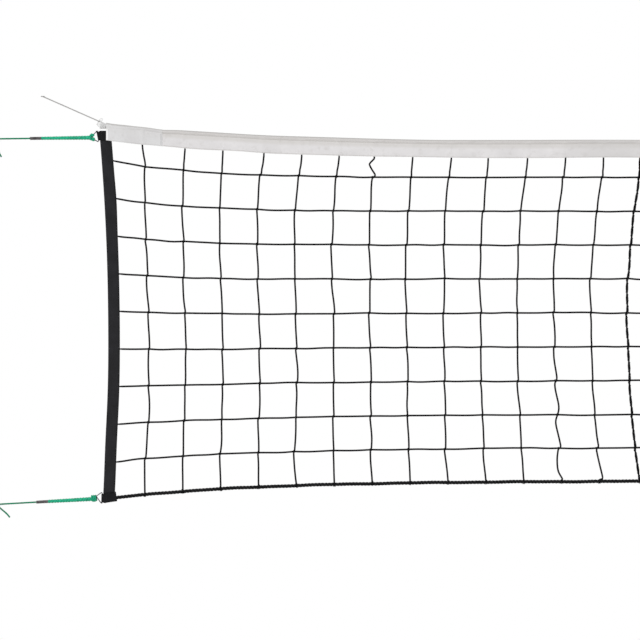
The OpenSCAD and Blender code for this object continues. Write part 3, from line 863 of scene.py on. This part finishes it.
for side, column in (("left", seamColumn), ("right", meshesLong - seamColumn)):
    route = respaced(smooth(uprightRoute(column), 8), 3)
    edge = tapeEdge(column * mesh)
    shape = newShape()
    addTube(shape, route[route[:, 2] > edge - 1], netting["slimRadius"], netting["sides"], seed=(1, 0, 0))
    route = route[route[:, 2] < edge + 1]
    addTwist(shape, route, panelSeam, 3, 7)
    dense = respaced(route, 1.2)
    n, b = turning(dense, (0, 1, 0))
    angle = (2 * np.pi * lengths(dense) / panelSeam["lacingPitch"])[:, None]
    wound = n * np.cos(angle) * panelSeam["lacingFlat"] + b * np.sin(angle)
    addTube(shape, dense + panelSeam["lacingReach"] * wound, panelSeam["lacingCord"], 5)
    makePiece(f"panelSeam_{side}Lacing", shape, nettingCord, "net", "netting_black", f"panel_seam_{side}")

bottomRope = {"strands": 3, "lay": 27.0, "offset": 2.45, "strandRadius": 2.6, "over": 3.05,
              "waves": [(0.5, 41.0, 0), (0.3, 17.0, 1)], "waveStart": 60.0,
              "hitchReach": 5.2, "hitchCord": 1.3, "hitchTurns": 1.7, "hitchPitch": 3.2}

u = alongNet(bottomRope["over"], 5, 15)
wave = sum(high * np.sin(u / long + phase) for high, long, phase in bottomRope["waves"])
height = bottomLine(endOf(u)) + wave * np.clip(endOf(u) / bottomRope["waveStart"], 0, 1)
shape = newShape()
addTwist(shape, flatRoute(u, height), bottomRope, 2.6, 8)
makePiece("bottomRopeStrands", shape, bottomRopeYarn, "net", "bottom_rope_black", "bottom_rope")

# The uprights' hitches round the rope
shape = newShape()
t = np.linspace(0, 1, 32)
long = bottomRope["hitchPitch"] * bottomRope["hitchTurns"]
for x, z in crossings[inside, meshesHigh]:
    angle = 2 * np.pi * bottomRope["hitchTurns"] * t + random.uniform(0, 6)
    loop = helix(x - long / 2 + long * t, bottomRope["hitchReach"], angle) + np.array([0, 0, z])
    addTube(shape, loop, bottomRope["hitchCord"], 6, seed=(1, 0, 0))
makePiece("bottomRopeHitches", shape, nettingCord, "net", "netting_black", "netting_columns")
print("bottom rope made")

foldArc = np.radians([-66, -44, -22, 0, 22, 44, 66])


# One section of cloth folded in half: its depth and its drop below the fold. It goes up the front, round
# the fold and down the back, and comes back inside with half as many points.
def foldedSection(drops, front, back, fold, thick, inset):
    depth = [-(front[::-1] + thick), (fold + thick) * np.sin(foldArc), back + thick,
             back[::-2], [0.7 * fold, -0.7 * fold], -front[::-2][::-1]]
    drop = [drops[::-1], drops[0] * (1 - np.cos(foldArc)), drops,
            drops[::-2], [drops[0] - inset] * 2, drops[::-2][::-1]]
    return np.concatenate(depth), np.concatenate(drop)


# Where the same points lie across the flat cloth
def foldedFlow(drops, firstDrop):
    arc = np.linspace(-0.8 * firstDrop, 0.8 * firstDrop, len(foldArc))
    return np.concatenate([-drops[::-1], arc, drops, drops[::-2], [1, -1], -drops[::-2][::-1], -drops[-1:]])


# Closes the cut end of a strip, between its outer and inner outline; first is the end ring's first point
def capStrip(shape, first, outerCount, total, flip):
    outer = first + np.arange(outerCount)
    inner = first + np.round(np.linspace(total - 1, outerCount, outerCount)).astype(int)
    for a in range(outerCount - 1):
        face = [outer[a], outer[a + 1], inner[a + 1], inner[a]]
        if inner[a + 1] == inner[a]:
            face = face[:3]
        shape["faces"].append(np.array([face[::-1] if flip else face]))
        shape["flows"].append(np.tile([20.0, 0.0], (len(face), 1)))


# A folded strip through rings of points, closed at both ends
def addStrip(shape, rings, across, along, outerCount, flip):
    points = np.array(rings)
    first = shape["count"]
    rows, total = points.shape[:2]
    addGrid(shape, points, across, along, True, False, flip)
    capStrip(shape, first, outerCount, total, flip)
    capStrip(shape, first + (rows - 1) * total, outerCount, total, not flip)


topTape = {
    "over": 2.2, "step": 6.0, "cornerGap": 3.85, "wideLength": 40.8, "slimLength": 90.8,
    "seam": 10.5, "hem": 46.0, "endLength": 146.0, "endSeam": 142.6,
    "ropeRound": 2.15, "ropeDrop": 3.9, "ropeReach": 4.0, "layerGap": 0.35, "pillow": 0.75,
    "cordRound": 2.15, "cordReach": 5.5, "leastHalf": 0.1,
    "creaseHigh": (0.34, 0.24, 0.3), "calmLength": 200.0,
    "layers": {"tape": {"lift": 0.05, "thick": 0.55, "higher": 0.0, "rise": 0.0, "creased": 1.0},
               "end": {"lift": 0.85, "thick": 0.5, "higher": 0.8, "rise": 0.5, "creased": 0.6}},
}
tapeDrops = np.array([2.6, 4.2, 6.0, 7.8, 9.3, 10.5, 11.8, 14, 18, 23, 28, 33, 38, 42, 44.6, 46, 47.2, 48.0])


# Half the space between the tape's layers at a place along it, for every drop: round the rope, over the
# uprights' ends, and opened by the strap at the corner
def tapeHalf(u, drops):
    look = topTape
    ropeRound = look["ropeRound"] * np.exp(-((drops - look["ropeDrop"]) / look["ropeReach"]) ** 4)
    belowSeam = np.clip((drops - look["seam"]) / (look["hem"] - look["seam"]), 0, 1)
    half = np.maximum(ropeRound, look["layerGap"] + look["pillow"] * np.sin(np.pi * belowSeam) ** 0.7)
    lift = 0
    for k in (int(u // mesh), int(u // mesh) + 1):
        if 0 <= k <= meshesLong:
            kept = netting["driftKept"] * drifts[k]
            top = crossings[k, 0, 0]
            place = top + drifts[k] - kept * drops / mesh + (crossings[k, 1, 0] - kept - top) * drops / mesh
            lift = np.maximum(lift, look["cordRound"] * np.exp(-((u - place) / look["cordReach"]) ** 2))
    half = np.maximum(half, lift * np.clip((drops - 4) / 4, 0, 1))
    wide = np.clip((look["slimLength"] - endOf(u)) / (look["slimLength"] - look["wideLength"]), 0, 1)
    wide = wide * wide * (3 - 2 * wide)
    return half * (1 - wide) + look["cornerGap"] * wide


# Soft creases of the coated cloth, in mm across it
def tapeCrease(u, drops, phase):
    slow, quick, slanted = topTape["creaseHigh"]
    calm = np.sin(np.pi * np.clip(drops / tapeHeight, 0, 1)) ** 0.5
    long = slow * math.sin(u / 31.0 + phase + 2 * math.sin(u / 190.0))
    short = quick * math.sin(u / 13.7 + 2.1 * phase)
    return (long + short + slanted * np.sin(u / 22.0 + drops / 9.0 + phase) * np.sin(u / 87.0 + phase)) * calm


# How far one face lies from the middle plane: -1 is the front, calmer at the net's ends, and 1 the back
def tapeFace(u, drops, face, lift, creased=1.0):
    if face < 0:
        calmer = 0.5 + 0.5 * np.clip(endOf(u) / topTape["calmLength"], 0, 1)
        crease = tapeCrease(u, drops, 0.4) * creased * calmer
    else:
        crease = tapeCrease(u + 57, drops, 2.9) * creased * 0.8
    return np.maximum(tapeHalf(u, drops) + lift + crease, lift + topTape["leastHalf"])


def tapeMesh(stations, along, layer):
    rings = []
    for u in stations:
        drops = tapeDrops * (tapeHeight + layer["higher"] - hollows("tapeNarrow", endOf(u))) / tapeHeight
        front, back = [tapeFace(u, drops, face, layer["lift"], layer["creased"]) for face in (-1, 1)]
        fold = tapeHalf(u, drops)[0] + layer["lift"]
        depth, drop = foldedSection(drops, front, back, fold, layer["thick"], 0.7 * fold)
        rings.append(np.stack([np.full(len(drop), u), depth, tapeTop(endOf(u)) + layer["rise"] - drop], 1))
    shape = newShape()
    addStrip(shape, rings, foldedFlow(tapeDrops, drops[0]), along, 2 * len(tapeDrops) + len(foldArc), True)
    return shape


# The same places along the tape serve its two layers at each end, so the outer one lies over the inner one
tapeLayer, endLayer = topTape["layers"]["tape"], topTape["layers"]["end"]
endLength = topTape["endLength"]
endStations = np.concatenate([[-topTape["over"]], np.arange(0, endLength, 4), [endLength]])
middle = np.arange(endLength + 4, netLength - endLength - 2, topTape["step"])
stations = np.concatenate([endStations, middle, netLength - endStations[::-1]])
tapePiece = makePiece("topTapeCloth", tapeMesh(stations, stations, tapeLayer), tapeVinyl, "net", "tape_white",
                      "top_tape")

for side in netEnds:
    stations = endStations if side == "left" else netLength - endStations[::-1]
    shape = tapeMesh(stations, endOf(stations), endLayer)
    endPiece = makePiece(f"tapeEnd_{side}Cloth", shape, tapeEndVinyl, "net", "tape_white", f"tape_end_{side}")
print("tape made")

stitch = {"pitch": 5.0, "length": 3.9, "radius": 0.32, "heavyRadius": 0.5, "raised": 0.4, "shoulder": 0.18}


# A row of small pointed stitches along a route, each lying a little into the cloth
def addStitches(shape, starts, ends, outward, radius):
    outward = np.broadcast_to(np.asarray(outward, float), starts.shape)
    t = ends - starts
    side = np.cross(t / np.linalg.norm(t, axis=1)[:, None], outward)
    rows = []
    for share in (stitch["shoulder"], 1 - stitch["shoulder"]):
        centre = starts + t * share + outward * radius * stitch["raised"]
        for a in np.radians([0, 90, 180, 270]):
            rows.append(centre + radius * (side * math.cos(a) + outward * math.sin(a)))
    points = np.stack([starts] + rows + [ends], 1)
    base = np.arange(len(starts))[:, None] * 10
    quads, tris = [], []
    for s in range(4):
        a, b = 1 + s, 1 + (s + 1) % 4
        quads.append(base + np.array([[a, b, b + 4, a + 4]]))
        tris.append(base + np.array([[0, b, a]]))
        tris.append(base + np.array([[9, a + 4, b + 4]]))
    quads, tris = np.concatenate(quads), np.concatenate(tris)
    flowQ = np.tile([[0, 0], [0.25, 0], [0.25, 3], [0, 3]], (len(quads), 1)).astype(float)
    flowT = np.tile([[0, 0], [0.25, 1], [0, 1]], (len(tris), 1)).astype(float)
    addFaces(shape, points.reshape(-1, 3), [quads, tris], [flowQ, flowT])


# Stitches from each start over one length; place gives the point of the cloth for a mark on the seam
def sew(shape, place, starts, length, face, radius, side="left"):
    ends = [mirrored([place(at) for at in marks], side) for marks in (starts, starts + length)]
    addStitches(shape, *ends, (0, face, 0), radius)


def onTape(u, drop, face, layer):
    y = face * (tapeFace(u, np.array([drop]), face, layer["lift"])[0] + layer["thick"])
    return u, y, tapeTop(endOf(u)) + layer["rise"] - drop


def narrowed(u, drop):
    return drop * (1 - hollows("tapeNarrow", endOf(u)) / tapeHeight)


shape = newShape()
starts = np.arange(endLength + 3, netLength - endLength - 3, stitch["pitch"])
for seam in (topTape["seam"], topTape["hem"]):
    for face in (-1, 1):
        sew(shape, lambda u: onTape(u, narrowed(u, seam), face, tapeLayer), starts, stitch["length"], face,
            stitch["radius"])
makePiece("tapeStitches", shape, whiteThread, "net", "tape_white")

# The doubled ends are sewn down across the tape, with grey thread that shows
shape = newShape()
for u in (topTape["endSeam"], netLength - topTape["endSeam"]):
    for face in (-1, 1):
        sew(shape, lambda drop: onTape(u, drop, face, endLayer), np.arange(11.0, 41.0, 3.4), 3.0, face,
            stitch["heavyRadius"])
makePiece("tapeEndStitches", shape, greyThread, "net", "tape_white")
print("stitches made")

# Side bands: webbing folded over the end of the netting and sewn shut along its open edge, on both faces
sideBand = {
    "width": 30.0, "seam": 26.6, "full": 0.9, "thick": 0.8, "top": 22.5, "end": -938.15, "step": 8.0,
    "gap": 1.8, "closing": 0.9, "closeFrom": 12.0, "closeOver": 14.0, "rowBulge": 0.95, "rowReach": 6.5,
    "wavy": 0.12, "waveLength": 23.0, "flare": 1.6, "flareAt": -160.0, "flareReach": 60.0, "inset": 0.2,
}
bandDrops = np.array([2.0, 4.0, 7.0, 11.0, 15.0, 19.0, 22.5, 25.5, 27.5, 29.0, 30.0])


# Half the space between the band's layers: closing towards its edge, and bulging over the rows' ends
def bandHalf(z, drops):
    look = sideBand
    closed = np.clip((drops - look["closeFrom"]) / look["closeOver"], 0, 1)
    near = min(abs(z - rowHeight(j, 0)) for j in range(meshesHigh + 1))
    bulge = look["rowBulge"] * math.exp(-(near / look["rowReach"]) ** 2) * closed
    wave = look["wavy"] * math.sin(z / look["waveLength"]) * np.sin(np.pi * drops / look["width"])
    return look["gap"] - look["closing"] * closed + bulge + wave


def bandAcross(z, drops):
    flare = sideBand["flare"] * math.exp(-((z - sideBand["flareAt"]) / sideBand["flareReach"]) ** 2)
    spread = sideBand["full"] + flare * drops / sideBand["width"]
    left = bandX(z) - sideBand["width"] / 2 - sideBand["full"] / 2
    return left + drops * (1 + spread / sideBand["width"])


def onBand(z, drop, face):
    return bandAcross(z, drop), face * (bandHalf(z, np.array([drop]))[0] + sideBand["thick"]), z


bandSteps = int((sideBand["top"] - sideBand["end"]) / sideBand["step"])
heights = np.linspace(sideBand["top"], sideBand["end"], bandSteps)
rings = []
for z in heights:
    half = bandHalf(z, bandDrops)
    depth, drop = foldedSection(bandDrops, half, half, half[0], sideBand["thick"], sideBand["inset"])
    rings.append(np.stack([bandAcross(z, drop), depth, np.full(len(drop), z)], 1))
for side in netEnds:
    shape = newShape()
    addStrip(shape, mirrored(rings, side), foldedFlow(bandDrops, bandDrops[0]), -heights,
             2 * len(bandDrops) + len(foldArc), side == "right")
    piece = makePiece(f"sideBand_{side}Webbing", shape, bandWebbing, "net", "webbing_black",
                      f"side_band_{side}")
for side in netEnds:
    shape = newShape()
    for face in (-1, 1):
        sew(shape, lambda z: onBand(z, sideBand["seam"], face),
            np.arange(sideBand["top"] - 4, sideBand["end"] + 8, -stitch["pitch"]), -stitch["length"], face,
            stitch["heavyRadius"], side)
    makePiece(f"sideBand_{side}Stitches", shape, blackThread, "net", "webbing_black", f"side_band_{side}")
print("side bands made")

# Corner straps: webbing round the ring's leg, sewn over the band, with notched corners for the ring to swing
straps = {
    "upper": {"length": 54.0, "gap": 2.8, "turn": 0.0, "lean": 0.2, "peak": 1.5, "rise": 1.0,
              "legReach": 1.95, "notches": (4.2, 0.6), "notchAt": 1.8, "notchReach": 1.7},
    "lower": {"length": 38.0, "gap": 5.2, "turn": 8.0, "lean": -0.02, "peak": 0.0, "rise": 0.5,
              "legReach": 1.65, "notches": (2.6, 3.9), "notchAt": 0.5, "notchReach": 2.3},
    "width": 25.0, "thick": 0.85, "neck": 0.6, "belly": 0.004, "foldFade": 3.5, "turnLength": 12.0,
    "seam": 9.8, "seamStart": 6.0, "seamEnd": 2.7,
    "lines": [-12.5, -12.1, -11, -8, -4, 0, 4, 8, 11, 12.1, 12.5],
}


# One face of the strap from end to end, round the leg; extra is how far outside its inner face
def strapOutline(strap, extra):
    reach, gap, neck = strap["legReach"] + extra, strap["gap"] + extra, strap["gap"] + straps["neck"]
    arc = [(-reach * math.cos(a), reach * math.sin(a)) for a in np.radians(np.linspace(0, 80, 7))]
    flat = [(x, gap) for x in np.linspace(neck + 3, strap["length"], 12)]
    upper = arc + [(neck * 0.5, reach + (gap - reach) * 0.45), (neck, gap * 0.97)] + flat
    return np.array([(x, -y) for x, y in upper[:0:-1]] + upper)


# Places one line of the strap, at height h in its width; x runs from the ring's leg and y is its depth
def strapPlace(level, x, y, h):
    strap, at = straps[level], corners[level]
    share = h / (straps["width"] / 2)
    nearFold = np.exp(-np.maximum(0, x) / straps["foldFade"])
    dent = np.exp(-((x - strap["notchAt"]) / strap["notchReach"]) ** 2)
    notch = strap["notches"][0] if h > 0 else -strap["notches"][1]
    x = x - (strap["lean"] * h + strap["peak"] * max(0, share) ** 4) * nearFold
    z = h + strap["rise"] * max(0, share) - abs(share) ** 3 * dent * notch
    turned = math.radians(strap["turn"]) * np.clip(x / straps["turnLength"], 0, 1)
    z, x = z * np.cos(turned) + x * np.sin(turned), x * np.cos(turned) - z * np.sin(turned)
    return np.stack(np.broadcast_arrays(x - at["out"], y, at["z"] + z), -1)


for level, side in netCorners:
    strap = straps[level]
    outer = strapOutline(strap, straps["thick"])
    outline = np.vstack([outer, strapOutline(strap, 0)[::-1]])
    run = lengths(outer)
    rings = [strapPlace(level, outline[:, 0], outline[:, 1] * (1 + straps["belly"] * math.cos(h / 8)), h)
             for h in straps["lines"]]
    shape = newShape()
    around = np.concatenate([run, run[::-1], run[:1]])
    addStrip(shape, mirrored(rings, side), around, np.array(straps["lines"]), len(outer), side != "right")
    piece = makePiece(f"cornerStrap_{level}_{side}", shape, strapWebbing, "net", "webbing_black",
                      f"strap_{level}_{side}")

    # sewn down along both edges and across, near the leg and near its end
    shape = newShape()
    first, last = strap["gap"] + straps["seamStart"], strap["length"] - straps["seamEnd"]
    seam = straps["seam"]
    along = np.arange(first, last - stitch["length"], stitch["pitch"])
    across = np.arange(-seam, seam - 3, stitch["pitch"])
    for face in (-1, 1):
        depth = face * (strap["gap"] + straps["thick"])
        look = (stitch["length"], face, stitch["heavyRadius"], side)
        for h in (-seam, seam):
            sew(shape, lambda x: strapPlace(level, x, depth, h), along, *look)
        for x in (first, last):
            sew(shape, lambda h: strapPlace(level, x, depth, h), across, *look)
    makePiece(f"strapStitches_{level}_{side}", shape, blackThread, "net", "webbing_black",
              f"strap_{level}_{side}")
print("straps made")

# Ties at the tape's corners, from the corner out to the knot on the rope and up to the cut end
tie = {
    "diameter": 2.6, "core": 0.7,
    "route": [(0.5, 0, 31.5), (-8, -0.5, 31), (-15, -1.0, 31.8), (-20, -2.2, 35), (-24.5, -3.4, 38.5),
              (-27, -2.6, 42), (-24.4, -3.8, 44.2), (-21, -4.4, 44.4), (-19.4, -4.4, 41.8), (-21.5, -4.6, 40),
              (-24.6, -1.6, 40.6), (-26.0, 2.0, 43.6), (-23, 3.6, 47.4), (-19.8, 2.6, 50), (-19.6, 0, 53.2),
              (-18, -1.4, 55.6), (-14.2, -1.8, 56.9), (-11.6, -1.8, 55.2), (-12.6, -1.8, 52.6),
              (-16, -1.8, 52.0), (-18.6, -2.4, 50.6), (-16.2, -3.0, 49.2), (-13.2, -2.8, 50.0)],
    "low": 30.2, "from": -2.0, "pitch": 2.75, "turns": 6, "ropeSlope": 0.447, "under": 0.6, "deep": 3.1,
    "braid": {"strands": 3, "pitch": 7.0, "strandShare": 0.42, "wave": 0.25, "sides": 5},
}
# Lashing turns round the rope, down to the tie's own lower run
turn = np.linspace(0, 2 * np.pi * tie["turns"], tie["turns"] * 16 + 1)
x = tie["from"] - tie["pitch"] * turn / (2 * np.pi)
half = (tapeTop(0) - hang["ropeDrop"] - tie["ropeSlope"] * x - tie["under"] - tie["low"]) / 2
lashing = np.stack([x, -tie["deep"] * np.cos(turn) * (1 + 0.25 * np.cos(2 * turn)),
                    tie["low"] + half + half * np.sin(turn)], 1)
for side in netEnds:
    shape = newShape()
    for points in (tie["route"], lashing):
        route = mirrored(smooth(points, 1.0), side)
        addBraid(shape, route, tie["diameter"] / 2, tie["braid"], 0.8, seed=(0, 0, 1))
        addTube(shape, route, tie["core"] * tie["diameter"] / 2, seed=(0, 0, 1))
    makePiece(f"cornerTie_{side}", shape, tieYarn, "net", "tie_white", f"corner_tie_{side}")
print("ties made")

# In m, but for its pattern, which is in mm
floor = {"radius": 24.0, "z": -2.545, "x": 4.92, "sides": 96, "colour": "#eeedeb", "worn": "#ebeae8",
         "patch": 900, "grain": 4, "depth": 0.3, "roughness": 0.7}


# Painted floor, pale and matt: an even surface with faint wide patches
def floorMaterial(look):
    material, tree = startMaterial("palePaintedFloor")
    colour = layered(tree, look["colour"], [(patches(tree, look["patch"], 3.0), 1.0, look["worn"])])
    grain = patches(tree, look["grain"])
    return finishMaterial(material, colour, grain, look["depth"], Roughness=look["roughness"])


turn = 2 * np.pi * np.arange(floor["sides"]) / floor["sides"]
floorMesh = bpy.data.meshes.new("floor")
floorMesh.from_pydata(
    [(floor["x"] + floor["radius"] * math.cos(a), floor["radius"] * math.sin(a), floor["z"]) for a in turn],
    [], [tuple(range(floor["sides"]))])
floorMesh.materials.append(floorMaterial(floor))
floorObject = bpy.data.objects.new("floor", floorMesh)
bpy.context.scene.collection.objects.link(floorObject)

# White all round, dimmer in what it lights than in what is seen, and one soft sun from the upper left
studio = {"ambient": 0.62, "keyStrength": 1.45, "keyAngle": 40.0, "keyFrom": (-0.45, -1.0, 0.55)}
world = bpy.data.worlds.new("studio")
bpy.context.scene.world = world
world.use_nodes = True
tree = world.node_tree
tree.nodes.clear()
rays = addNode(tree, "LightPath").outputs
indirect = addNode(tree, "Math", [rays["Is Glossy Ray"], rays["Is Transmission Ray"]], operation="MAXIMUM")
seen = addNode(tree, "Math", [rays["Is Camera Ray"], indirect], operation="MAXIMUM")
strength = addNode(tree, "MapRange", {0: seen, 3: studio["ambient"], 4: 1.0})
sky = addNode(tree, "Background", {"Color": (1, 1, 1, 1), "Strength": strength})
addNode(tree, "OutputWorld", {"Surface": sky})

key = bpy.data.objects.new("keyLight", bpy.data.lights.new("keyLight", "SUN"))
key.data.energy = studio["keyStrength"]
key.data.angle = math.radians(studio["keyAngle"])
key.rotation_mode = "QUATERNION"
key.rotation_quaternion = Vector(studio["keyFrom"]).to_track_quat("Z", "Y")
bpy.context.scene.collection.objects.link(key)
bpy.context.scene.view_settings.view_transform = "Standard"
print("stage made")
